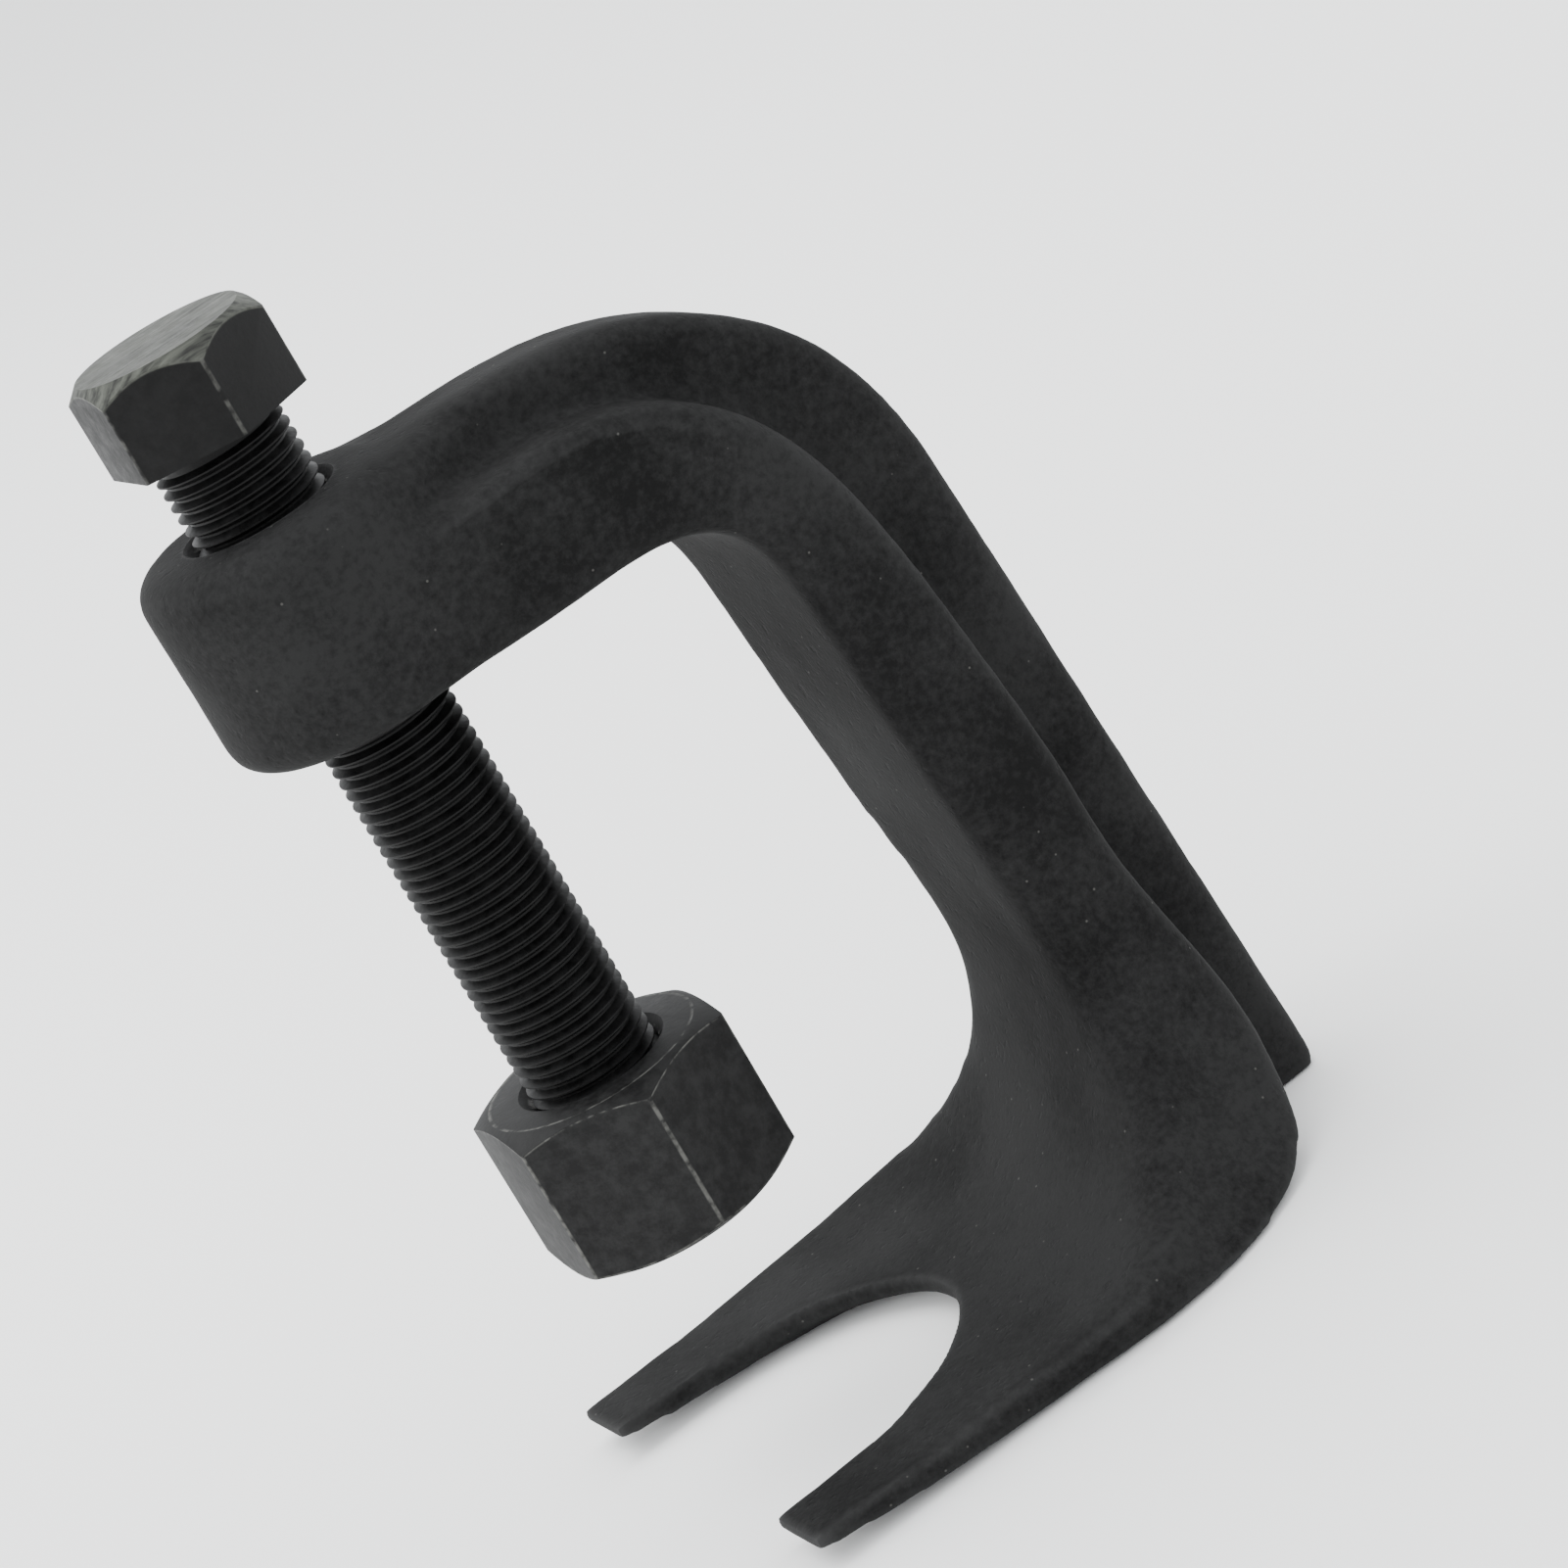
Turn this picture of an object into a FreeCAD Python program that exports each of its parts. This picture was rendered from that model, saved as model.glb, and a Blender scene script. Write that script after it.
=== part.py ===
"""Ball joint separator: a forged C-frame with a slotted fork, a forcing screw and a push nut.

Row frame: +Z runs along the screw towards its head, +X from the screw to the spine, +Y across
the fork. The origin is on the screw's axis, level with the flat underside of the fork.
All lengths are in millimetres.
"""
import FreeCAD, Part
import math
import os

V = FreeCAD.Vector

# Thread, screw and nut
thread_d = 16.0            # major diameter of the screw's thread
pitch = 1.5                # fine right-hand thread
groove_depth = 0.92        # depth of one thread groove
run_clear = 0.05           # radial running clearance in the threaded holes
mouth_chamfer = 1.3        # countersink at each mouth of a threaded hole
head_af = 21.0             # screw head across flats
head_bottom = 136.6
head_top = 148.0
nut_af = 28.0              # push nut across flats
nut_bottom = 32.6
nut_top = 52.7
head_chamfer_deg = 45.0    # slope of the turned corners on the head
nut_chamfer_deg = 28.0     # and on both ends of the nut
screw_tip = 36.6           # lower end of the screw, inside the nut
neck_len = 1.0             # plain undercut below the head

# Thrust ball in the screw's tip
ball_r = 4.0
ball_out = 1.4             # how far the ball stands out of the tip
ball_clear = 0.06

# Forged frame
boss_r = 16.5
boss_bottom = 101.4
boss_top = 126.4
boss_edge = 3.8            # rounding of the boss's rims
rib_half = 6.4             # half the width of the outer rib
rib_round = 2.6
plate_half = 15.8          # half the depth of the inner bar
slot_end = 22.2            # closed end of the fork's slot
slot_half = 22.0           # half the slot's width at the tips
tine_tip = -15.0
slot_round = 0.5           # rounding of the slot's upper rim
slot_relief = 2.3          # height of the hollow under the slot's closed end
hex_phase_head = 30.0
hex_phase_nut = 27.5

# One row per section of the bar, from the boss round to the fork's tips:
# inner x, inner z, outer x, outer z, half width, corner radius
bar_sections = (
    (4.0, 101.4, 4.0, 118.0, 15.2, 2.4),
    (20.0, 101.4, 20.0, 118.4, 15.7, 2.6),
    (31.5, 101.2, 33.5, 117.6, plate_half, 2.8),
    (39.9, 98.2, 46.4, 111.0, plate_half, 3.0),
    (43.8, 91.6, 54.4, 98.4, plate_half, 3.0),
    (45.0, 82.0, 57.8, 84.6, plate_half, 3.0),
    (46.5, 65.0, 60.4, 66.0, plate_half, 3.0),
    (48.0, 49.0, 62.0, 47.0, plate_half, 3.0),
    (49.1, 37.0, 64.0, 31.0, 16.4, 3.2),
    (48.8, 28.0, 65.8, 18.6, 18.4, 3.4),
    (46.2, 19.6, 64.6, 8.6, 22.0, 3.4),
    (41.6, 12.0, 60.4, 2.2, 27.6, 3.2),
    (36.0, 7.6, 52.0, 0.1, 32.6, 2.8),
    (28.6, 5.4, 39.0, 0.0, 35.6, 2.2),
    (19.0, 4.8, 26.0, 0.0, 35.2, 1.7),
    (8.0, 4.7, 11.0, 0.5, 34.2, 1.2),
    (-4.0, 4.7, -3.0, 1.4, 33.4, 0.8),
    (-15.6, 4.7, -15.6, 3.2, 33.2, 0.5),
)

# Outline of the rib in the plane of symmetry: the outer run, then points inside the bar
rib_outer = ((4.0, 125.9), (20.0, 125.9), (32.0, 125.4), (42.6, 123.4), (51.4, 119.6), (59.0, 114.0),
             (64.6, 106.9), (68.0, 98.8), (69.8, 89.0))
rib_foot = (76.0, 0.0)
rib_inner = ((58.0, 0.0), (60.0, 14.0), (58.0, 34.0), (55.0, 60.0), (50.0, 92.0), (42.0, 106.0),
             (28.0, 111.0), (4.0, 111.0))


def face(edges):
    return Part.Face(Part.Wire(Part.__sortEdges__(edges)))


def rounded_section(xi, zi, xo, zo, half, radius):
    """Rounded rectangle across the bar: inner side, outer side and half width."""
    a, b = V(xi, 0, zi), V(xo, 0, zo)
    along = (b - a).normalize()
    span = (b - a).Length
    side = V(0, 1, 0)

    def at(u, w):
        return a + along * u + side * w

    c = radius * (1 - math.sqrt(0.5))
    corners = (
        (at(span - radius, -half), at(span - c, -half + c), at(span, -half + radius)),
        (at(span, half - radius), at(span - c, half - c), at(span - radius, half)),
        (at(radius, half), at(c, half - c), at(0, half - radius)),
        (at(0, -half + radius), at(c, -half + c), at(radius, -half)),
    )
    edges = []
    for i, (p, m, q) in enumerate(corners):
        edges.append(Part.Arc(p, m, q).toShape())
        edges.append(Part.makeLine(q, corners[(i + 1) % 4][0]))
    return Part.Wire(edges)


def spline(points):
    curve = Part.BSplineCurve()
    curve.interpolate([V(*p) for p in points])
    return curve.toShape()


def hexagon(af, phase_deg, z0, z1):
    r = af / math.sqrt(3)
    pts = [V(r * math.cos(math.radians(phase_deg + 60 * k)),
             r * math.sin(math.radians(phase_deg + 60 * k)), z0) for k in range(6)]
    return Part.Face(Part.makePolygon(pts + pts[:1])).extrude(V(0, 0, z1 - z0))


def chamfer_cone(af, slope_deg, z_flat, direction):
    """Solid cone frustum that trims a hexagon's end at z_flat; direction is +1 for a top end."""
    reach = 40.0
    slope = math.tan(math.radians(slope_deg))
    r_flat = af * 0.475
    pts = [V(0, 0, z_flat), V(r_flat, 0, z_flat), V(r_flat + reach, 0, z_flat - direction * reach * slope),
           V(0, 0, z_flat - direction * reach * slope)]
    return Part.Face(Part.makePolygon(pts + pts[:1])).revolve(V(0, 0, 0), V(0, 0, 1), 360)


def revolved(points):
    pts = [V(r, 0, z) for r, z in points]
    return Part.Face(Part.makePolygon(pts + pts[:1])).revolve(V(0, 0, 0), V(0, 0, 1), 360)


def make_frame():
    bar = Part.makeLoft([rounded_section(*s) for s in bar_sections], True, False)

    outer = spline([(x, 0, z) for x, z in rib_outer])
    foot = V(rib_foot[0], 0, rib_foot[1])
    loop = [V(x, 0, z) for x, z in rib_inner]
    start, end = outer.Vertexes[0].Point, outer.Vertexes[1].Point
    chain = [end, foot] + loop + [start]
    edges = [outer] + [Part.makeLine(p, q) for p, q in zip(chain, chain[1:])]
    rib = face(edges)
    rib.translate(V(0, -rib_half, 0))
    rib = rib.extrude(V(0, 2 * rib_half, 0))
    rims = [e for e in rib.Edges if abs(abs(e.CenterOfMass.y) - rib_half) < 0.01
            and (e.CenterOfMass.x > 69.9 or e.Length > 90) and e.CenterOfMass.z > 0.5]
    rib = rib.makeFillet(rib_round, rims)

    neck_pts = [V(0, -boss_r + 0.2, 112), V(7, -boss_r + 1.2, 112), V(14, -11.5, 112), V(23, -rib_half, 112),
                V(23, rib_half, 112), V(14, 11.5, 112), V(7, boss_r - 1.2, 112), V(0, boss_r - 0.2, 112)]
    neck = Part.Face(Part.makePolygon(neck_pts + neck_pts[:1])).extrude(V(0, 0, 125.7 - 112))
    tops = [e for e in neck.Edges if e.CenterOfMass.z > 125.6 and 3 < e.CenterOfMass.x < 22]
    neck = neck.makeFillet(boss_edge, tops)

    boss = Part.makeCylinder(boss_r, boss_top - boss_bottom, V(0, 0, boss_bottom))
    boss = boss.makeFillet(boss_edge, [e for e in boss.Edges if abs(e.CenterOfMass.x) < 0.01
                                       and e.Curve.TypeId == "Part::GeomCircle"])

    frame = bar.fuse([rib, neck, boss]).removeSplitter()

    # The slot's outline as (x, half width, how far the hollow below reaches out)
    half_rim = ((tine_tip - 6, slot_half + 0.4, 0.2), (tine_tip, slot_half, 0.2), (2, 20.6, 1.0), (9, 18.3, 2.6),
                (14.4, 15.0, 4.4), (18.8, 10.0, 5.6), (21.4, 5.0, 6.2))

    def rim(z, reach):
        near = [(x + reach * out * 0.7, half + reach * out * 0.7) for x, half, out in half_rim]
        pts = [(x, -y, z) for x, y in near] + [(slot_end + reach * half_rim[-1][2], 0, z)]
        curve = spline(pts + [(x, y, z) for x, y in reversed(near)])
        return Part.Wire([curve, Part.makeLine(curve.Vertexes[1].Point, curve.Vertexes[0].Point)])

    slot = Part.Face(rim(-5, 0)).extrude(V(0, 0, 16))
    hollow = Part.makeLoft([rim(-0.2, 1.1), rim(slot_relief, 0)], True, True)
    below = Part.makeBox(160, 120, 20, V(-60, -60, -20))
    beyond = Part.makeBox(20, 120, 20, V(tine_tip - 20, -60, -5))
    frame = frame.cut([slot, hollow, below, beyond])
    slot_rims = [e for e in frame.Edges if e.Length > 80 and e.CenterOfMass.z > 3.5 and abs(e.CenterOfMass.y) < 1
                 and e.BoundBox.ZLength < 1.5 and e.BoundBox.XMax < slot_end + 0.5]
    frame = frame.makeFillet(slot_round, slot_rims)

    hole = Part.makeCylinder(thread_d / 2 + run_clear, 40, V(0, 0, boss_bottom - 7))
    top_sink = Part.makeCone(thread_d / 2 + run_clear, thread_d / 2 + run_clear + mouth_chamfer, mouth_chamfer,
                             V(0, 0, boss_top - mouth_chamfer))
    low_sink = Part.makeCone(thread_d / 2 + run_clear + mouth_chamfer, thread_d / 2 + run_clear, mouth_chamfer,
                             V(0, 0, boss_bottom))
    return frame.cut([hole, top_sink, low_sink])


def make_screw():
    r = thread_d / 2
    root = r - groove_depth
    flat = pitch * 0.12
    profile = [(0, screw_tip), (r - 1.6, screw_tip), (root, screw_tip + 0.7)]
    z = screw_tip + 0.9
    top = head_bottom - neck_len
    while z + pitch < top:
        profile += [(root, z), (r, z + pitch / 2 - flat / 2), (r, z + pitch / 2 + flat / 2)]
        z += pitch
    profile += [(root, z), (root, head_bottom + 1), (0, head_bottom + 1)]
    shank = revolved(profile)
    head = hexagon(head_af, hex_phase_head, head_bottom, head_top).common(
        chamfer_cone(head_af, head_chamfer_deg, head_top, 1))
    screw = shank.fuse(head)
    pocket_z = screw_tip - ball_out + ball_r
    pocket = Part.makeSphere(ball_r + ball_clear, V(0, 0, pocket_z))
    mouth = math.sqrt((ball_r + ball_clear) ** 2 - (pocket_z - screw_tip) ** 2)
    return screw.cut([pocket, Part.makeCylinder(mouth, 1.0, V(0, 0, screw_tip - 1.0))])


def make_ball():
    return Part.makeSphere(ball_r, V(0, 0, screw_tip - ball_out + ball_r))


def make_nut():
    body = hexagon(nut_af, hex_phase_nut, nut_bottom, nut_top)
    for z_flat, direction in ((nut_top, 1), (nut_bottom, -1)):
        body = body.common(chamfer_cone(nut_af, nut_chamfer_deg, z_flat, direction))
    bore_r = thread_d / 2 + run_clear
    bore = Part.makeCylinder(bore_r, nut_top - nut_bottom + 2, V(0, 0, nut_bottom - 1))
    top_sink = Part.makeCone(bore_r, bore_r + mouth_chamfer, mouth_chamfer, V(0, 0, nut_top - mouth_chamfer))
    low_sink = Part.makeCone(bore_r + mouth_chamfer, bore_r, mouth_chamfer, V(0, 0, nut_bottom))
    return body.cut([bore, top_sink, low_sink])


os.makedirs("parts", exist_ok=True)
for node, shape in (("forged_frame", make_frame()), ("forcing_screw", make_screw()),
                    ("thrust_ball", make_ball()), ("push_nut", make_nut())):
    solid = shape.Solids[0]
    print(node, len(shape.Solids), "solid", solid.isValid(), round(solid.Volume / 1000, 2), "cm3",
          [round(v, 2) for v in (solid.BoundBox.XMin, solid.BoundBox.XMax, solid.BoundBox.YMin,
                                 solid.BoundBox.YMax, solid.BoundBox.ZMin, solid.BoundBox.ZMax)])
    solid.exportStep("parts/%s.step" % node)
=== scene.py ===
"""Ball joint separator: forged black-oxide frame, forcing screw with a rolled thread, push nut and thrust ball.

Every piece stands in the frame's own axes: +Z up the screw to its head, +X from the screw to the spine, +Y
across the fork. Lengths are metres; the thread's small sizes are given in millimetres and turned once.
"""

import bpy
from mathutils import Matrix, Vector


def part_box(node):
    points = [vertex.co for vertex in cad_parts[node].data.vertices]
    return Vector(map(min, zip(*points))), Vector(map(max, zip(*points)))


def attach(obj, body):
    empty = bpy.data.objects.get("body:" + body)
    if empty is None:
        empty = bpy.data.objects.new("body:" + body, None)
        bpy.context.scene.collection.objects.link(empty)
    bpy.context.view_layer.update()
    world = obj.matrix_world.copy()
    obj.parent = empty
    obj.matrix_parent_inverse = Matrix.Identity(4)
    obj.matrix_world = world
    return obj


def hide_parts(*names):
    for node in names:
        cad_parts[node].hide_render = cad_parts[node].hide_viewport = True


bl_info = {
    "name": "Ball joint separator",
    "version": (1, 0, 0),
    "blender": (4, 5, 0),
    "location": "3D View > Sidebar > Separator",
    "description": "Builds a forged ball joint separator with its screw, nut, ball, finishes and studio",
    "category": "Object",
}

import math

import bmesh
import bpy
from bpy.props import FloatProperty, FloatVectorProperty, IntProperty, PointerProperty
from mathutils import Matrix, Vector, noise

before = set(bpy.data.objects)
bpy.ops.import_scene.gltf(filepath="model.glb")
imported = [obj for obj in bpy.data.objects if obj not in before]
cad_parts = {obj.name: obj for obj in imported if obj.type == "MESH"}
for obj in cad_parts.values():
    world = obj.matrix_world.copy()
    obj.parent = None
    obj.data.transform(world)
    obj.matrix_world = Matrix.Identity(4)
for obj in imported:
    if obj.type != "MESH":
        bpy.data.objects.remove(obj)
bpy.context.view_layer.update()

MM = 0.001
FRAME_LOW, FRAME_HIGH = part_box("forged_frame")
SCREW_LOW, SCREW_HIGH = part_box("forcing_screw")
NUT_LOW, NUT_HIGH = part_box("push_nut")
BALL_LOW, BALL_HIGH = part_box("thrust_ball")


def hex_colour(code):
    """A six-digit sRGB hex colour as linear red, green, blue and alpha."""
    parts = [int(code[i:i + 2], 16) / 255 for i in (0, 2, 4)]
    return tuple(c / 12.92 if c <= 0.04045 else ((c + 0.055) / 1.055) ** 2.4 for c in parts) + (1.0,)


# ---------------------------------------------------------------- settings


class SEPARATOR_PG_thread(bpy.types.PropertyGroup):
    major: FloatProperty(name="Major diameter", description="Diameter over the screw's crests",
                         default=16 * MM, unit="LENGTH")
    pitch: FloatProperty(name="Pitch", description="Travel of one turn, right-handed", default=1.5 * MM,
                         unit="LENGTH")
    depth: FloatProperty(name="Thread depth", description="Crest to root, radially", default=0.92 * MM,
                         unit="LENGTH")
    clearance: FloatProperty(name="Clearance", description="Gap left between the screw's and the hole's flanks",
                             default=0.05 * MM, unit="LENGTH")
    mouth: FloatProperty(name="Mouth", description="Radial width of the countersink at a threaded hole's mouth",
                         default=1.3 * MM, unit="LENGTH")
    facets: IntProperty(name="Facets", description="Straight steps in one turn of the thread", default=48)


class SEPARATOR_PG_forging(bpy.types.PropertyGroup):
    boss_low: FloatProperty(name="Boss underside", description="Height of the boss's lower face",
                            default=101.4 * MM, unit="LENGTH")
    voxel: FloatProperty(name="Grain of the mesh", description="Edge length of the forging's mesh",
                         default=0.66 * MM, unit="LENGTH")
    rounding: IntProperty(name="Rounding",
                          description="Smoothing rounds that soften every edge but the fork's", default=2)
    bend: IntProperty(name="Bend", description="Smoothing rounds for each step into the dished bend", default=35)
    fillet: IntProperty(name="Fillets", description="Extra smoothing rounds in the hollow corners", default=16)
    dent: FloatProperty(name="Unevenness", description="Depth of the hammered and blasted skin's shallow dents",
                        default=0.16 * MM, unit="LENGTH")


class SEPARATOR_PG_hexagons(bpy.types.PropertyGroup):
    head_low: FloatProperty(name="Head underside", description="Height of the screw head's lower face",
                            default=136.6 * MM, unit="LENGTH")
    head_turn: FloatProperty(name="Head turn", description="Direction of one of the head's corners from +X",
                             default=math.radians(30), unit="ROTATION")
    nut_across: FloatProperty(name="Nut across flats", description="Wrench size of the push nut",
                              default=28 * MM, unit="LENGTH")
    nut_turn: FloatProperty(name="Nut turn", description="Direction of one of the nut's corners from +X",
                            default=math.radians(27.5), unit="ROTATION")
    head_chamfer: FloatProperty(name="Head chamfer", description="Slope of the head's turned corners",
                                default=math.radians(45), unit="ROTATION")
    nut_chamfer: FloatProperty(name="Nut chamfer", description="Slope of the nut's turned corners",
                               default=math.radians(28), unit="ROTATION")
    flat_share: FloatProperty(name="Face circle", description="End face's circle as a share of the wrench size",
                              default=0.95)
    edge: FloatProperty(name="Edge", description="Softening of the upright edges", default=0.3 * MM, unit="LENGTH")


class SEPARATOR_PG_studio(bpy.types.PropertyGroup):
    aim: FloatVectorProperty(name="Aim", description="Point the camera looks at", size=3,
                             default=(37.1 * MM, 2.4 * MM, 65.1 * MM), subtype="TRANSLATION")
    distance: FloatProperty(name="Distance", description="Camera to its aim", default=0.56, unit="LENGTH")
    azimuth: FloatProperty(name="Azimuth", description="Turn of the view about the screw's axis",
                           default=math.radians(-18.53), unit="ROTATION")
    elevation: FloatProperty(name="Elevation", description="Height of the view", default=math.radians(18.33),
                             unit="ROTATION")
    roll: FloatProperty(name="Roll", description="Tilt of the picture", default=math.radians(-29.9),
                        unit="ROTATION")
    lens: FloatProperty(name="Lens", description="Focal length in millimetres on a 36 mm sensor", default=112.4)
    floor_colour: FloatVectorProperty(name="Floor", description="Colour of the floor", size=4,
                                      default=hex_colour("f4f4f3"), subtype="COLOR", min=0, max=1)


# ---------------------------------------------------------------- meshes


def finished(name, mesh, body, material, replaced=()):
    """Shows a mesh as a named piece that rides on its body."""
    piece = bpy.data.objects.new(name, mesh)
    bpy.context.scene.collection.objects.link(piece)
    mesh.materials.clear()
    mesh.materials.append(material)
    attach(piece, body)
    if replaced:
        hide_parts(*replaced)
    return piece


def mesh_from(bm, name, smooth_angle=math.radians(35)):
    """Writes a bmesh out as a mesh whose faces are shaded smooth up to an angle."""
    bmesh.ops.recalc_face_normals(bm, faces=bm.faces)
    mesh = bpy.data.meshes.new(name)
    bm.to_mesh(mesh)
    bm.free()
    mesh.shade_smooth()
    mesh.set_sharp_from_angle(angle=smooth_angle)
    return mesh


def modified(mesh, name, *modifiers):
    """The mesh after modifiers, each given as (kind, settings)."""
    holder = bpy.data.objects.new(name, mesh)
    bpy.context.scene.collection.objects.link(holder)
    for kind, settings in modifiers:
        modifier = holder.modifiers.new(kind.lower(), kind)
        for key, value in settings.items():
            setattr(modifier, key, value)
    graph = bpy.context.evaluated_depsgraph_get()
    made = bpy.data.meshes.new_from_object(holder.evaluated_get(graph), depsgraph=graph)
    bpy.data.objects.remove(holder)
    return made


def cutter(bm, name):
    """A bmesh as a hidden object that a boolean can use."""
    bmesh.ops.recalc_face_normals(bm, faces=bm.faces)
    mesh = bpy.data.meshes.new(name)
    bm.to_mesh(mesh)
    bm.free()
    tool = bpy.data.objects.new(name, mesh)
    bpy.context.scene.collection.objects.link(tool)
    return tool


def cylinder(radius, low, high, segments=96):
    bm = bmesh.new()
    bmesh.ops.create_cone(bm, cap_ends=True, segments=segments, radius1=radius, radius2=radius, depth=high - low,
                          matrix=Matrix.Translation((0, 0, (low + high) / 2)))
    return bm


def turned(profile, segments=96):
    """A closed solid turned about the screw's axis from (radius, height) points that start and end on it."""
    bm = bmesh.new()
    line = [bm.verts.new((r, 0, z)) for r, z in profile]
    edges = [bm.edges.new(pair) for pair in zip(line, line[1:])]
    bmesh.ops.spin(bm, geom=line + edges, cent=(0, 0, 0), axis=(0, 0, 1), angle=math.tau, steps=segments,
                   use_merge=True, use_duplicate=False)
    bmesh.ops.remove_doubles(bm, verts=bm.verts, dist=1e-7)
    return bm


def helix(thread, profile, low, high, limit):
    """A threaded wall from low to high. profile holds (radius, height) over one pitch about the crest's middle,
    and limit(radius, height) returns the radius that the wall may have there."""
    bm = bmesh.new()
    turns = math.ceil((high - low) / thread.pitch) + 4
    start = (math.floor(low / thread.pitch) - 2) * thread.pitch
    line = [bm.verts.new((r, 0, start + z)) for r, z in profile]
    edges = [bm.edges.new(pair) for pair in zip(line, line[1:])]
    bmesh.ops.spin(bm, geom=line + edges, cent=(0, 0, 0), axis=(0, 0, 1), dvec=(0, 0,
                                                                                thread.pitch / thread.facets),
                   angle=math.tau * turns, steps=thread.facets * turns, use_merge=False, use_duplicate=False)
    bmesh.ops.remove_doubles(bm, verts=bm.verts, dist=1e-6)
    for v in bm.verts:
        r = math.hypot(v.co.x, v.co.y)
        scale = limit(r, v.co.z) / r
        v.co.x *= scale
        v.co.y *= scale
    for height, side in ((low, 1), (high, -1)):
        bmesh.ops.bisect_plane(bm, geom=bm.verts[:] + bm.edges[:] + bm.faces[:], dist=1e-8, plane_co=(0, 0,
                                                                                                      height),
                               plane_no=(0, 0, side), clear_inner=True)
    return bm


def screw_profile(thread):
    """The screw's ISO outline over one pitch: root flat, flank, crest flat, flank, root flat."""
    crest, root = thread.major / 2, thread.major / 2 - thread.depth
    half_crest = thread.pitch / 16
    flank = half_crest + thread.depth * math.tan(math.radians(30))
    return [(root, -thread.pitch / 2), (root, -flank), (crest, -half_crest), (crest, half_crest), (root, flank),
            (root, thread.pitch / 2)]


def hole_profile(thread):
    """The mating outline of a threaded hole, opened by the clearance."""
    gap = thread.clearance
    root, crest = thread.major / 2 + gap, thread.major / 2 - thread.pitch * 0.54
    half_root = thread.pitch / 16 + gap * 0.2
    flank = half_root + (root - crest) * math.tan(math.radians(30))
    return [(crest, -thread.pitch / 2), (crest, -flank), (root, -half_root), (root, half_root), (crest, flank),
            (crest, thread.pitch / 2)]


def thread_liner(thread, low, high):
    """A closed ring whose bore is threaded and countersunk at both mouths; it fills a plain hole of its
    own size."""
    outer = thread.major / 2 + thread.clearance + thread.mouth

    def opened(r, z):
        return max(r, outer - (z - low), outer - (high - z))

    bm = helix(thread, hole_profile(thread), low, high, opened)
    bmesh.ops.remove_doubles(bm, verts=bm.verts, dist=1e-7)
    rims = [e for e in bm.edges if e.is_boundary]
    bmesh.ops.bridge_loops(bm, edges=rims)
    return bm


def hexagon_block(hexagons, across, turn, slope, low, high, chamfered):
    """A hexagonal prism with its corners turned off at the chamfered ends ("low", "high")."""
    bm = bmesh.new()
    bmesh.ops.create_cone(bm, cap_ends=True, segments=6, radius1=across / math.sqrt(3),
                          radius2=across / math.sqrt(3),
                          depth=high - low, matrix=Matrix.Translation((0, 0, (low + high) / 2))
                          @ Matrix.Rotation(turn - math.pi / 2, 4, "Z"))
    bmesh.ops.bevel(bm, geom=[e for e in bm.edges if abs(e.verts[0].co.z - e.verts[1].co.z) > (high - low) / 2],
                    offset=hexagons.edge, segments=3, profile=0.5, affect="EDGES", material=-1)
    prism = bpy.data.meshes.new("hexagon")
    bm.to_mesh(prism)
    bm.free()
    flat, wide = across / 2 * hexagons.flat_share, across * 0.75
    drop = (wide - flat) * math.tan(slope)
    dome = [(0, low)]
    dome += [(flat, low), (wide, low + drop)] if "low" in chamfered else [(wide, low)]
    dome += [(wide, high - drop), (flat, high), (0, high)]
    trim = cutter(turned(dome, 192), "hexagon_trim")
    block = modified(prism, "hexagon", ("BOOLEAN", {"operation": "INTERSECT", "solver": "EXACT", "object": trim}))
    bpy.data.objects.remove(trim)
    return block


def joined(name, *parts):
    """One mesh out of several meshes and bmeshes."""
    bm = bmesh.new()
    for part in parts:
        if isinstance(part, bmesh.types.BMesh):
            loose = bpy.data.meshes.new("part")
            bmesh.ops.recalc_face_normals(part, faces=part.faces)
            part.to_mesh(loose)
            part.free()
            part = loose
        bm.from_mesh(part)
    mesh = bpy.data.meshes.new(name)
    bm.to_mesh(mesh)
    bm.free()
    mesh.shade_smooth()
    mesh.set_sharp_from_angle(angle=math.radians(35))
    return mesh


# Hollows pressed into the forging: the line they follow (x, y, z), their half width and their depth,
# in millimetres
HOLLOWS = (
    (((14, -15.8, 115.6), (24, -15.8, 115.6), (32, -15.8, 114.8), (39, -15.8, 111.8), (44, -15.8, 107)), 0.8,
     0.45),
    (((14, 15.8, 115.6), (24, 15.8, 115.6), (32, 15.8, 114.8), (39, 15.8, 111.8), (44, 15.8, 107)), 0.8, 0.45),
    (((26.4, 20.0, 5.3), (26.6, 13.5, 5.4), (25.6, 6.5, 5.2)), 0.5, 0.22),
)


def hollow_at(place):
    """Depth of the pressed hollows at a point of the forging."""
    depth = 0.0
    for line, half, deep in HOLLOWS:
        points = [Vector(point) * MM for point in line]
        if all((place - point).length > 14 * MM for point in points):
            continue
        gaps = []
        for start, end in zip(points, points[1:]):
            share = (place - start).dot(end - start) / (end - start).length_squared
            gaps.append((place - start.lerp(end, min(1.0, max(0.0, share)))).length)
        depth += deep * MM * math.exp(-(min(gaps) / (half * MM)) ** 2)
    return depth


# ---------------------------------------------------------------- finishes


def add_node(tree, kind, inputs=None, **settings):
    """Adds a node, gives it its settings, and sets or links its inputs."""
    made = tree.nodes.new(kind)
    for key, value in settings.items():
        setattr(made, key, value)
    for key, value in (inputs or {}).items():
        if isinstance(value, bpy.types.NodeSocket):
            tree.links.new(value, made.inputs[key])
        else:
            made.inputs[key].default_value = value
    return made


def new_material(name):
    material = bpy.data.materials.new(name)
    material.use_nodes = True
    material.node_tree.nodes.clear()
    return material, material.node_tree


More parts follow.
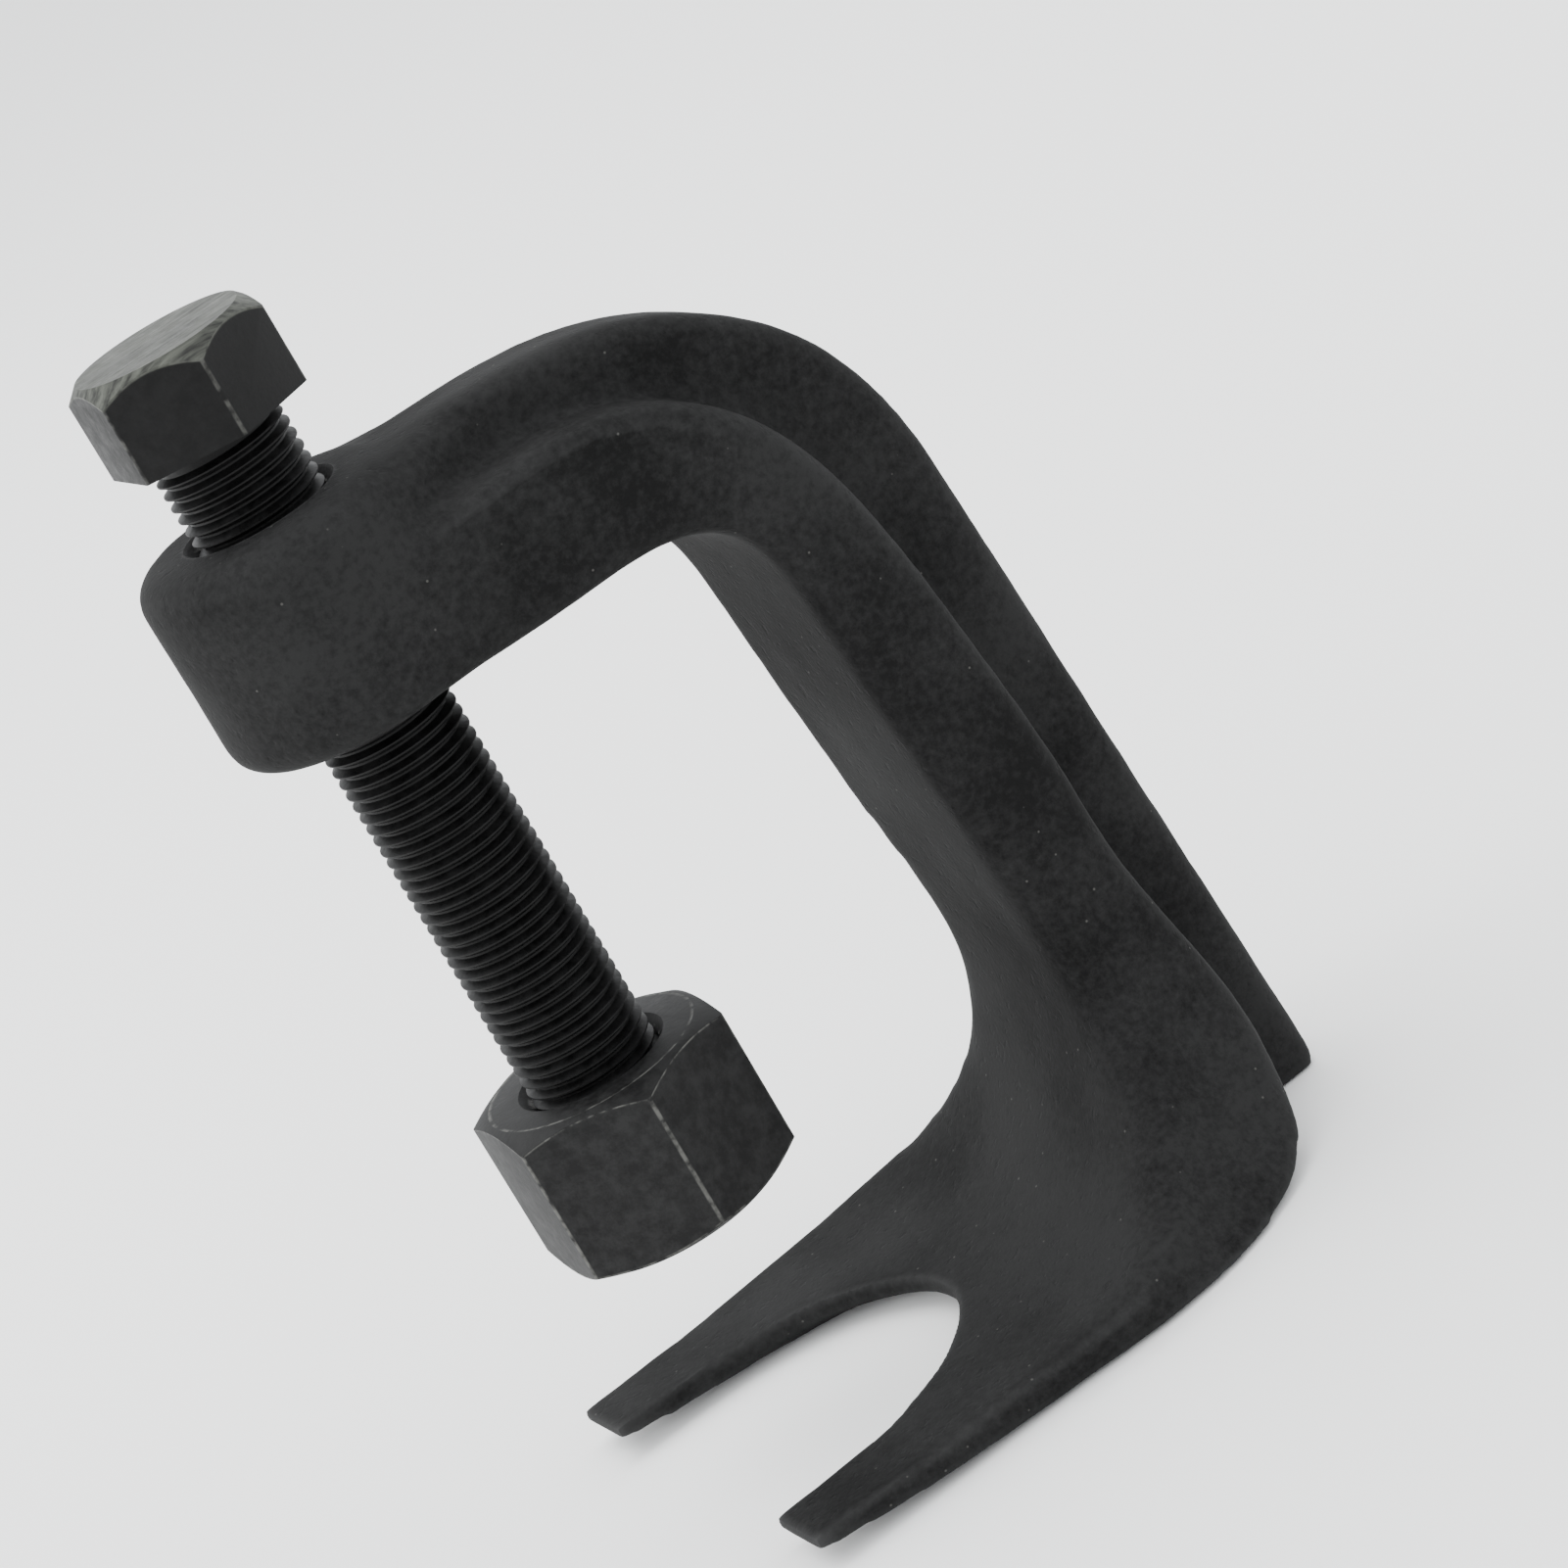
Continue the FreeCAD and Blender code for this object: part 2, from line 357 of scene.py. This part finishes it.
def per(size_mm):
    """Noise scale whose features measure about size_mm."""
    return 1 / (size_mm * MM)


def off_axis(tree, place):
    """Distance from the screw's axis."""
    flat = add_node(tree, "ShaderNodeVectorMath", {0: place, 1: (1.0, 1.0, 0.0)}, operation="MULTIPLY")
    return add_node(tree, "ShaderNodeVectorMath", {0: flat.outputs[0]}, operation="LENGTH").outputs["Value"]


def masked(tree, value, nothing, full, most=1.0):
    """0 where value is at nothing, rising to most where it is at full."""
    return add_node(tree, "ShaderNodeMapRange", {"Value": value, "From Min": nothing, "From Max": full,
                                                 "To Max": most}).outputs[0]


def times(tree, one, other):
    return add_node(tree, "ShaderNodeMath", {0: one, 1: other}, operation="MULTIPLY").outputs[0]


def blended(tree, share, under, over):
    """The colour under, covered by the colour over where share is 1."""
    return add_node(tree, "ShaderNodeMix", {0: share, 6: under, 7: over}, data_type="RGBA").outputs[2]


def shot_blasted_forging(thread):
    """Black oxide over a shot-blasted steel forging. The eye sees a dull charcoal skin with a fine grain and small
    pits, paler dust caught in it, greyer edges that are partly rubbed wear and partly a painted highlight along the
    ridges, and light steel patches on the crests of the tapped hole that are partly wear and partly painted glints."""
    material, tree = new_material("Black oxide on shot-blasted forged steel")
    place = add_node(tree, "ShaderNodeTexCoord").outputs["Object"]
    cloud = add_node(tree, "ShaderNodeTexNoise", {"Vector": place, "Scale": per(24), "Detail": 3.0})
    grain = add_node(tree, "ShaderNodeTexNoise", {"Vector": place, "Scale": per(1.0), "Detail": 4.0,
                                                  "Roughness": 0.7})
    both = add_node(tree, "ShaderNodeMath", {0: cloud.outputs["Fac"], 1: grain.outputs["Fac"]}, operation="ADD")
    tone = add_node(tree, "ShaderNodeValToRGB", {"Fac": times(tree, both.outputs[0], 0.5)})
    tone.color_ramp.elements[0].position, tone.color_ramp.elements[0].color = 0.4, hex_colour("0c0c0c")
    tone.color_ramp.elements[1].position, tone.color_ramp.elements[1].color = 0.6, hex_colour("222222")
    specks = add_node(tree, "ShaderNodeTexVoronoi", {"Vector": place, "Scale": per(3.2)})
    colour = blended(tree, masked(tree, specks.outputs["Distance"], 0.06, 0.03, 0.4), tone.outputs["Color"],
                     hex_colour("5f5e5b"))
    # Pointiness lightens the edges towards 424242: partly rubbed wear, partly a painted highlight along the ridges.
    edge = add_node(tree, "ShaderNodeNewGeometry").outputs["Pointiness"]
    colour = blended(tree, masked(tree, edge, 0.51, 0.57, 0.5), colour, hex_colour("424242"))
    reach = off_axis(tree, place)
    glint = add_node(tree, "ShaderNodeTexNoise", {"Vector": place, "Scale": per(1.6), "Detail": 2.0})
    # Light metallic patches on the tapped hole's crests: partly worn-through steel, partly painted glints.
    crest = times(tree, masked(tree, reach, thread.major / 2 + 0.6 * MM, thread.major / 2 - 0.5 * MM),
                  masked(tree, glint.outputs["Fac"], 0.5, 0.62))
    colour = blended(tree, crest, colour, hex_colour("a9a9a6"))
    rough = masked(tree, grain.outputs["Fac"], 0.3, 0.7, 1.0)
    rough = add_node(tree, "ShaderNodeMapRange", {"Value": rough, "To Min": 0.72, "To Max": 0.9}).outputs[0]
    grit = add_node(tree, "ShaderNodeTexNoise", {"Vector": place, "Scale": per(0.55), "Detail": 3.0})
    pits = add_node(tree, "ShaderNodeTexNoise", {"Vector": place, "Scale": per(1.3), "Detail": 2.0})
    relief = add_node(tree, "ShaderNodeMath", {0: grit.outputs["Fac"], 1: masked(tree, pits.outputs["Fac"],
                                                                                 0.27, 0.4)},
                      operation="ADD")
    bump = add_node(tree, "ShaderNodeBump", {"Height": relief.outputs[0], "Strength": 0.55, "Distance": 0.12 * MM})
    shader = add_node(tree, "ShaderNodeBsdfPrincipled", {
        "Base Color": colour, "Roughness": rough, "Normal": bump.outputs[0], "Metallic": crest,
        "Specular IOR Level": 0.1})
    add_node(tree, "ShaderNodeOutputMaterial", {"Surface": shader.outputs[0]})
    return material


def machined_black_oxide(name, dark, light, roughness, specular, block, edge_rub_and_highlight, top_wear_and_sheen=False, crests=None):
    """Black oxide over milled or rolled steel. The eye sees it darker and shinier than the forging, mottled by
    handling, with lighter hexagon edges that are partly grey steel rubbed through and partly a painted edge
    highlight. block holds the hexagon's size across flats, its middle, half height, face circle and chamfer slope;
    edge_rub_and_highlight is the strength of the edge wear and painted edge highlight; top_wear_and_sheen lightens
    the top face and its chamfer in streaks, partly as wear and partly as painted sheen; crests is the radius inside
    which a tapped thread gets light metallic patches, partly wear and partly painted glints."""
    across, middle, half, flat, slope = block
    corner = across / math.sqrt(3)
    material, tree = new_material(name)
    place = add_node(tree, "ShaderNodeTexCoord").outputs["Object"]
    mottle = add_node(tree, "ShaderNodeTexNoise", {"Vector": place, "Scale": per(2.2), "Detail": 7.0,
                                                   "Roughness": 0.75}).outputs["Fac"]
    patch = add_node(tree, "ShaderNodeTexNoise", {"Vector": place, "Scale": per(1.4),
                                                  "Detail": 3.0}).outputs["Fac"]
    tone = add_node(tree, "ShaderNodeValToRGB", {"Fac": mottle})
    tone.color_ramp.elements[0].position, tone.color_ramp.elements[0].color = 0.4, hex_colour(dark)
    tone.color_ramp.elements[1].position, tone.color_ramp.elements[1].color = 0.62, hex_colour(light)
    rough = add_node(tree, "ShaderNodeMapRange", {"Value": mottle, "From Min": 0.3, "From Max": 0.7,
                                                  "To Min": roughness[0], "To Max": roughness[1]})
    reach = off_axis(tree, place)
    height = add_node(tree, "ShaderNodeSeparateXYZ", {0: place}).outputs["Z"]
    rise = add_node(tree, "ShaderNodeMath", {0: height, 1: middle}, operation="SUBTRACT").outputs[0]
    if not top_wear_and_sheen:
        rise = add_node(tree, "ShaderNodeMath", {0: rise}, operation="ABSOLUTE").outputs[0]
    cone = add_node(tree, "ShaderNodeMath", {0: reach, 1: math.tan(slope), 2: rise},
                    operation="MULTIPLY_ADD").outputs[0]
    rim = half + flat * math.tan(slope)
    # The hexagon's edges are lightened towards 6a6a66: partly rubbed-through steel, partly a painted edge
    # highlight.
    upright = masked(tree, reach, corner - 0.17 * MM, corner - 0.11 * MM)
    arc = times(tree, masked(tree, cone, rim - 0.3 * MM, rim - 0.14 * MM),
                masked(tree, cone, rim - 0.02 * MM, rim - 0.08 * MM))
    edges = add_node(tree, "ShaderNodeMath", {0: upright, 1: arc}, operation="MAXIMUM").outputs[0]
    colour = blended(tree, times(tree, edges, masked(tree, patch, 0.38, 0.62, edge_rub_and_highlight)), tone.outputs["Color"],
                     hex_colour("6a6a66"))
    bare_and_glint = 0.0
    if top_wear_and_sheen:
        # The top face and its chamfer lighten in streaks towards 4b4d47: partly wear, partly painted sheen where
        # the top faces the light.
        turned_off = masked(tree, cone, rim - 0.35 * MM, rim - 0.1 * MM)
        face = masked(tree, rise, half - 0.25 * MM, half - 0.1 * MM)
        crown = add_node(tree, "ShaderNodeMath", {0: turned_off, 1: face}, operation="MAXIMUM").outputs[0]
        drawn = add_node(tree, "ShaderNodeVectorMath", {0: place, 1: (0.16, 1.6, 1.0)},
                         operation="MULTIPLY").outputs[0]
        streak = add_node(tree, "ShaderNodeTexNoise", {"Vector": drawn, "Scale": per(1.1), "Detail": 5.0,
                                                       "Roughness": 0.6}).outputs["Fac"]
        wear_and_sheen = times(tree, crown, masked(tree, streak, 0.3, 0.66))
        colour = blended(tree, wear_and_sheen, colour, hex_colour("4b4d47"))
        bare_and_glint = times(tree, wear_and_sheen, 0.2)
    if crests:
        # Light metallic patches on the tapped thread's crests: partly worn-through steel, partly painted glints.
        bare_and_glint = times(tree, masked(tree, reach, crests + 0.6 * MM, crests - 0.5 * MM), masked(tree, patch, 0.5,
                                                                                             0.62))
        colour = blended(tree, bare_and_glint, colour, hex_colour("a9a9a6"))
    marks = add_node(tree, "ShaderNodeTexNoise", {"Vector": place, "Scale": per(0.7), "Detail": 4.0})
    bump = add_node(tree, "ShaderNodeBump", {"Height": marks.outputs["Fac"], "Strength": 0.4,
                                             "Distance": 0.08 * MM})
    shader = add_node(tree, "ShaderNodeBsdfPrincipled", {
        "Base Color": colour, "Roughness": rough.outputs[0], "Normal": bump.outputs[0], "Metallic": bare_and_glint,
        "Specular IOR Level": specular})
    add_node(tree, "ShaderNodeOutputMaterial", {"Surface": shader.outputs[0]})
    return material


def polished_ball_steel():
    """Hardened bearing steel, polished."""
    material, tree = new_material("Polished hardened bearing steel")
    place = add_node(tree, "ShaderNodeTexCoord").outputs["Object"]
    haze = add_node(tree, "ShaderNodeTexNoise", {"Vector": place, "Scale": per(1.5), "Detail": 3.0})
    rough = add_node(tree, "ShaderNodeMapRange", {"Value": haze.outputs["Fac"], "To Min": 0.12, "To Max": 0.3})
    shader = add_node(tree, "ShaderNodeBsdfPrincipled", {
        "Base Color": hex_colour("b9bbbd"), "Roughness": rough.outputs[0], "Metallic": 1.0})
    add_node(tree, "ShaderNodeOutputMaterial", {"Surface": shader.outputs[0]})
    return material


# ---------------------------------------------------------------- pieces


class SEPARATOR_OT_forging(bpy.types.Operator):
    """Builds the forged frame with soft edges and the threaded hole in its boss"""
    bl_idname = "separator.forging"
    bl_label = "Forged frame"

    def execute(self, context):
        thread, forging = context.scene.separator_thread, context.scene.separator_forging
        boss_low, boss_high = forging.boss_low, FRAME_HIGH.z
        hole = thread.major / 2 + thread.clearance + thread.mouth
        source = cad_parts["forged_frame"]
        bm = bmesh.new()
        bm.from_mesh(source.data)
        bmesh.ops.remove_doubles(bm, verts=bm.verts, dist=1e-7)
        plug = bpy.data.meshes.new("plug")
        plug_bm = cylinder(hole + 0.6 * MM, boss_low, boss_high)
        plug_bm.to_mesh(plug)
        plug_bm.free()
        bm.from_mesh(plug)
        rough = bpy.data.meshes.new("forging")
        bm.to_mesh(rough)
        bm.free()
        blocked = modified(rough, "forging", ("REMESH", {"mode": "VOXEL", "voxel_size": forging.voxel}))
        bm = bmesh.new()
        bm.from_mesh(blocked)
        soft = [v for v in bm.verts if v.co.z > 9 * MM or v.co.x > 44 * MM]
        for _ in range(2):
            bmesh.ops.smooth_vert(bm, verts=bm.verts, factor=0.5, use_axis_x=True, use_axis_y=True,
                                  use_axis_z=True)
        for _ in range(forging.rounding):
            bmesh.ops.smooth_vert(bm, verts=soft, factor=0.5, use_axis_x=True, use_axis_y=True, use_axis_z=True)
        hollow = {v for e in bm.edges if len(e.link_faces) == 2 and e.calc_face_angle_signed() < -0.12
                  for v in e.verts}
        for _ in range(3):
            hollow |= {e.other_vert(v) for v in hollow for e in v.link_edges}
        hollow = [v for v in hollow if v.co.z > 12 * MM or v.co.x > 50 * MM]
        for _ in range(forging.fillet):
            bmesh.ops.smooth_vert(bm, verts=hollow, factor=0.5, use_axis_x=True, use_axis_y=True, use_axis_z=True)
        for inward in (0, 3 * MM, 6 * MM, 9 * MM):
            dish = [v for v in bm.verts if abs(v.co.y) > 7 * MM + inward and v.co.x < 58 * MM - inward
                    and 7 * MM + inward < v.co.z < 52 * MM - 2 * inward]
            for _ in range(forging.bend):
                bmesh.ops.smooth_vert(bm, verts=dish, factor=0.5, use_axis_x=True, use_axis_y=True,
                                      use_axis_z=True)
        bmesh.ops.smooth_vert(bm, verts=bm.verts, factor=0.5, use_axis_x=True, use_axis_y=True, use_axis_z=True)
        bm.normal_update()
        for v in bm.verts:
            beside = min(1.0, max(0.0, (math.hypot(v.co.x, v.co.y) - hole) / (3 * MM)))
            skin = 0.5 + 0.36 * noise.noise(v.co / (9 * MM)) + 0.2 * noise.noise(v.co / (2.6 * MM))
            v.co -= v.normal * (forging.dent * beside * skin + hollow_at(v.co))
        solid = mesh_from(bm, "forging")
        drill = cutter(cylinder(hole - 0.02 * MM, boss_low - 5 * MM, boss_high + 5 * MM), "drill")
        drilled = modified(solid, "forging", ("BOOLEAN", {"operation": "DIFFERENCE", "solver": "FAST",
                                                          "object": drill}))
        bpy.data.objects.remove(drill)
        mesh = joined("forging", drilled, thread_liner(thread, boss_low, boss_high))
        finished("forged_body", mesh, "frame", shot_blasted_forging(thread), ["forged_frame"])
        return {"FINISHED"}


class SEPARATOR_OT_screw(bpy.types.Operator):
    """Builds the forcing screw: hexagon head, undercut, rolled thread and the pocket for its ball"""
    bl_idname = "separator.screw"
    bl_label = "Forcing screw"

    def execute(self, context):
        thread, hexagons = context.scene.separator_thread, context.scene.separator_hexagons
        low, high, head_low = SCREW_LOW.z, SCREW_HIGH.z, hexagons.head_low
        across = SCREW_HIGH.x - SCREW_LOW.x
        crest, root = thread.major / 2, thread.major / 2 - thread.depth

        def rolled(r, z):
            tip = crest - 1.5 * MM + (z - low) * 1.2
            neck = root + max(0.0, (head_low - 0.8 * MM - z) * 0.9)
            return min(r, tip, neck)

        shank = helix(thread, screw_profile(thread), low, head_low + 1 * MM, rolled)
        bmesh.ops.remove_doubles(shank, verts=shank.verts, dist=1e-7)
        bmesh.ops.holes_fill(shank, edges=[e for e in shank.edges if e.is_boundary], sides=0)
        tip = min(shank.faces, key=lambda f: f.calc_center_median().z + (0 if len(f.verts) > 20 else 1))
        ball_r = (BALL_HIGH.x - BALL_LOW.x) / 2
        centre = (BALL_HIGH.z + BALL_LOW.z) / 2
        mouth = math.sqrt((ball_r + 0.06 * MM) ** 2 - (centre - low) ** 2)
        tip_r = max(math.hypot(v.co.x, v.co.y) for v in tip.verts)
        bmesh.ops.inset_region(shank, faces=[tip], thickness=tip_r - mouth, use_even_offset=True)
        pocket = bmesh.ops.extrude_discrete_faces(shank, faces=[tip])["faces"][0]
        bmesh.ops.translate(shank, verts=pocket.verts, vec=(0, 0, centre - low + ball_r + 0.3 * MM))
        head = hexagon_block(hexagons, across, hexagons.head_turn, hexagons.head_chamfer, head_low, high,
                             ("high",))
        block = (across, (head_low + high) / 2, (high - head_low) / 2, across / 2 * hexagons.flat_share,
                 hexagons.head_chamfer)
        # The head's top is lightened in streaks, partly wear and partly painted sheen; its edges carry wear and a
        # painted edge highlight.
        material = machined_black_oxide("Black oxide on a rolled and milled steel screw", "040404", "0f0f0f",
                                        (0.4, 0.62), 0.14, block, 0.3, top_wear_and_sheen=True)
        mesh = joined("forcing_screw", shank, head)
        finished("forcing_screw_body", mesh, "screw", material, ["forcing_screw"])
        return {"FINISHED"}


class SEPARATOR_OT_nut(bpy.types.Operator):
    """Builds the tall push nut with its chamfers and its threaded bore"""
    bl_idname = "separator.nut"
    bl_label = "Push nut"

    def execute(self, context):
        thread, hexagons = context.scene.separator_thread, context.scene.separator_hexagons
        low, high, across = NUT_LOW.z, NUT_HIGH.z, hexagons.nut_across
        hole = thread.major / 2 + thread.clearance + thread.mouth
        solid = hexagon_block(hexagons, across, hexagons.nut_turn, hexagons.nut_chamfer, low, high, ("low",
                                                                                                     "high"))
        drill = cutter(cylinder(hole - 0.02 * MM, low - 5 * MM, high + 5 * MM), "drill")
        drilled = modified(solid, "nut", ("BOOLEAN", {"operation": "DIFFERENCE", "solver": "EXACT",
                                                      "object": drill}))
        bpy.data.objects.remove(drill)
        mesh = joined("push_nut", drilled, thread_liner(thread, low, high))
        block = (across, (low + high) / 2, (high - low) / 2, across / 2 * hexagons.flat_share,
                 hexagons.nut_chamfer)
        # The nut's edges carry wear and a painted edge highlight; its thread crests get metallic patches, partly
        # wear and partly painted glints.
        material = machined_black_oxide("Black oxide on a milled steel nut", "090909", "1e1e1e", (0.52, 0.72),
                                        0.16,
                                        block, 0.5, crests=thread.major / 2)
        finished("push_nut_body", mesh, "nut", material, ["push_nut"])
        return {"FINISHED"}


class SEPARATOR_OT_ball(bpy.types.Operator):
    """Gives the thrust ball in the screw's tip its polished finish"""
    bl_idname = "separator.ball"
    bl_label = "Thrust ball"

    def execute(self, context):
        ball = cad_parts["thrust_ball"]
        ball.material_slots[0].material = polished_ball_steel()
        return {"FINISHED"}


class SEPARATOR_OT_stage(bpy.types.Operator):
    """Builds the floor, the soft studio lights and the camera"""
    bl_idname = "separator.stage"
    bl_label = "Studio"

    def execute(self, context):
        studio = context.scene.separator_studio
        bm = bmesh.new()
        bmesh.ops.create_grid(bm, x_segments=1, y_segments=1, size=12)
        mesh = bpy.data.meshes.new("floor")
        bm.to_mesh(mesh)
        bm.free()
        floor = bpy.data.objects.new("floor", mesh)
        context.scene.collection.objects.link(floor)
        material, tree = new_material("Matt white studio card")
        shader = add_node(tree, "ShaderNodeBsdfPrincipled", {"Base Color": studio.floor_colour, "Roughness": 0.9})
        add_node(tree, "ShaderNodeOutputMaterial", {"Surface": shader.outputs[0]})
        mesh.materials.append(material)

        world = bpy.data.worlds.new("Studio")
        world.use_nodes = True
        world.node_tree.nodes["Background"].inputs["Color"].default_value = hex_colour("f4f6f8")
        world.node_tree.nodes["Background"].inputs["Strength"].default_value = 2.2
        context.scene.world = world
        aim = Vector(studio.aim)
        for name, place, size, power in (
                ("left_softbox", (-1.1, 0.4, 0.35), 0.6, 8),
                ("top_softbox", (-0.1, 0.3, 1.1), 1.2, 14)):
            data = bpy.data.lights.new(name, "AREA")
            data.shape, data.size, data.energy = "SQUARE", size, power
            light = bpy.data.objects.new(name, data)
            light.location = place
            light.rotation_euler = (aim - Vector(place)).to_track_quat("-Z", "Y").to_euler()
            context.scene.collection.objects.link(light)

        data = bpy.data.cameras.new("camera")
        data.lens, data.sensor_width = studio.lens, 36
        data.clip_start, data.clip_end = 0.01, 50
        camera = bpy.data.objects.new("camera", data)
        back = Vector((math.sin(studio.azimuth) * math.cos(studio.elevation),
                       -math.cos(studio.azimuth) * math.cos(studio.elevation), math.sin(studio.elevation)))
        camera.location = aim + back * studio.distance
        camera.rotation_euler = (back.to_track_quat("Z", "Y").to_matrix()
                                 @ Matrix.Rotation(studio.roll, 3, "Z")).to_euler()
        context.scene.collection.objects.link(camera)
        context.scene.camera = camera
        return {"FINISHED"}


class SEPARATOR_PT_panel(bpy.types.Panel):
    """Lists the pieces and their settings"""
    bl_idname = "SEPARATOR_PT_panel"
    bl_label = "Ball joint separator"
    bl_space_type = "VIEW_3D"
    bl_region_type = "UI"
    bl_category = "Separator"

    def draw(self, context):
        layout = self.layout
        for group in GROUPS:
            box = layout.box()
            for name in GROUPS[group].__annotations__:
                box.prop(getattr(context.scene, group), name)
        for operator in OPERATORS:
            layout.operator(operator.bl_idname)


OPERATORS = (SEPARATOR_OT_forging, SEPARATOR_OT_screw, SEPARATOR_OT_nut, SEPARATOR_OT_ball, SEPARATOR_OT_stage)
GROUPS = {
    "separator_thread": SEPARATOR_PG_thread,
    "separator_forging": SEPARATOR_PG_forging,
    "separator_hexagons": SEPARATOR_PG_hexagons,
    "separator_studio": SEPARATOR_PG_studio,
}


def register():
    for name, group in GROUPS.items():
        bpy.utils.register_class(group)
        setattr(bpy.types.Scene, name, PointerProperty(type=group))
    for cls in OPERATORS + (SEPARATOR_PT_panel,):
        bpy.utils.register_class(cls)


def unregister():
    for cls in reversed(OPERATORS + (SEPARATOR_PT_panel,)):
        bpy.utils.unregister_class(cls)
    for name, group in GROUPS.items():
        delattr(bpy.types.Scene, name)
        bpy.utils.unregister_class(group)


def main():
    register()
    bpy.ops.separator.forging()
    bpy.ops.separator.screw()
    bpy.ops.separator.nut()
    bpy.ops.separator.ball()
    bpy.ops.separator.stage()


if __name__ == "__main__":
    main()
